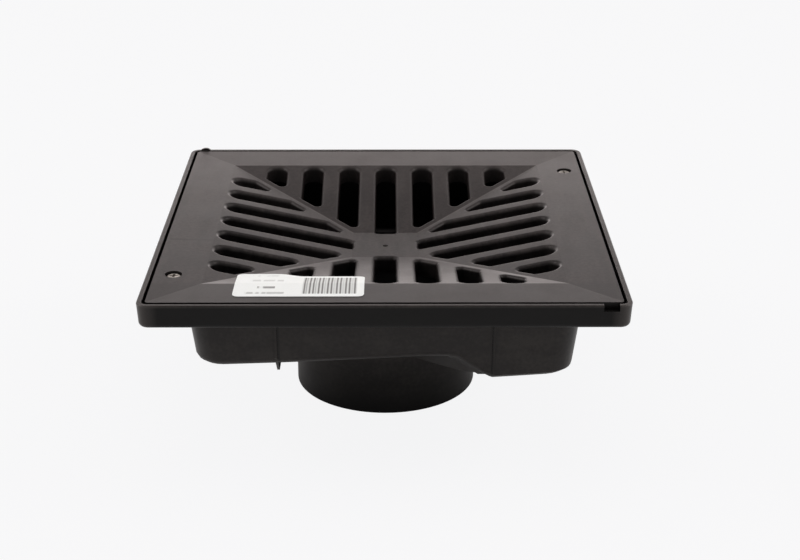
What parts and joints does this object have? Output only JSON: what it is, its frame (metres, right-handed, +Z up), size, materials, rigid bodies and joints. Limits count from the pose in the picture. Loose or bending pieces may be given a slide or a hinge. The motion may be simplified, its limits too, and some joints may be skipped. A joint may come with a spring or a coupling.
{
  "type": "pit cover",
  "caption": "Square drainage pit top in black plastic: dished slotted grate screwed into a rim over a shallow body with a turning floor and a round outlet",
  "frame": {"origin": "centre of the outlet's foot, on its axis, at the lowest level of the part", "axes": "+Z up, along the outlet's axis; +X to the right and -Y towards the viewer in the picture, the label on the -Y side"},
  "size_m": [0.25, 0.25, 0.0998],
  "materials": {
    "body_plastic": "black moulded polypropylene, satin",
    "grate_plastic": "black moulded polypropylene, satin",
    "screw_steel": "dull zinc-plated steel",
    "label_paper": "white paper label, matte"
  },
  "bodies": {
    "root": {"pit_body": "body_plastic", "grate": "grate_plastic", "grate_screws": "screw_steel", "label": "label_paper"}
  },
  "joints": []
}
